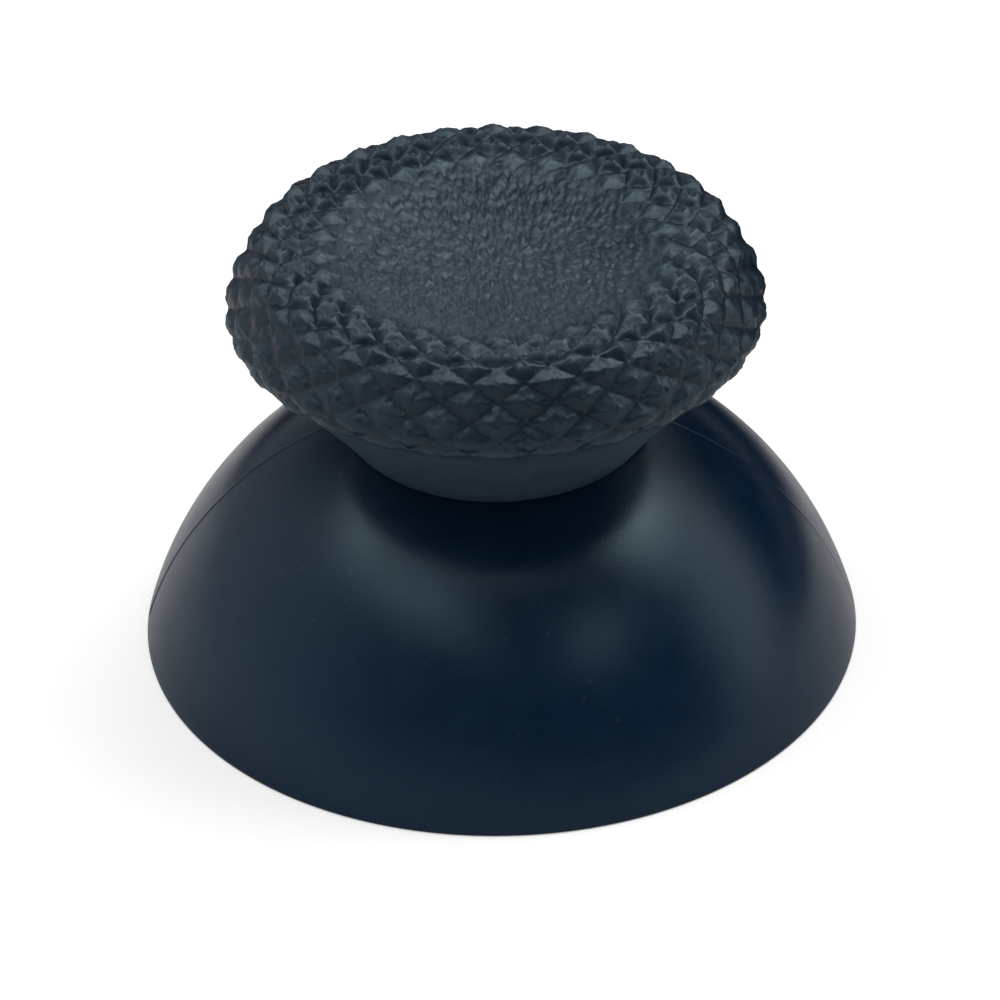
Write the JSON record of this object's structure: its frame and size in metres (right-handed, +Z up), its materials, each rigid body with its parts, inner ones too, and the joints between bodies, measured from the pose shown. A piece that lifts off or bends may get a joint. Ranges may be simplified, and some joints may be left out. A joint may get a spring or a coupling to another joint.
{
  "type": "controller thumb grip",
  "caption": "Thumb grip for a game controller stick: soft mushroom cap with a dished top and diamond-knurled rim on a hollow spherical dome with a double-D socket.",
  "frame": {"origin": "middle of the plane that the dome's rim stands on", "axes": "+Z up along the axis of the dome and the cap; -Y is the side that the picture shows; the socket's flats face +Y and -Y"},
  "size_m": [0.0256, 0.0256, 0.016],
  "materials": {
    "hard_plastic": "satin blue-black moulded plastic with a very fine spark-eroded texture",
    "soft_rubber": "matt charcoal rubber, fine grain in the dish and diamond knurl on the rim"
  },
  "bodies": {
    "root": {"dome_base": "hard_plastic", "grip_cap": "soft_rubber"}
  },
  "joints": []
}
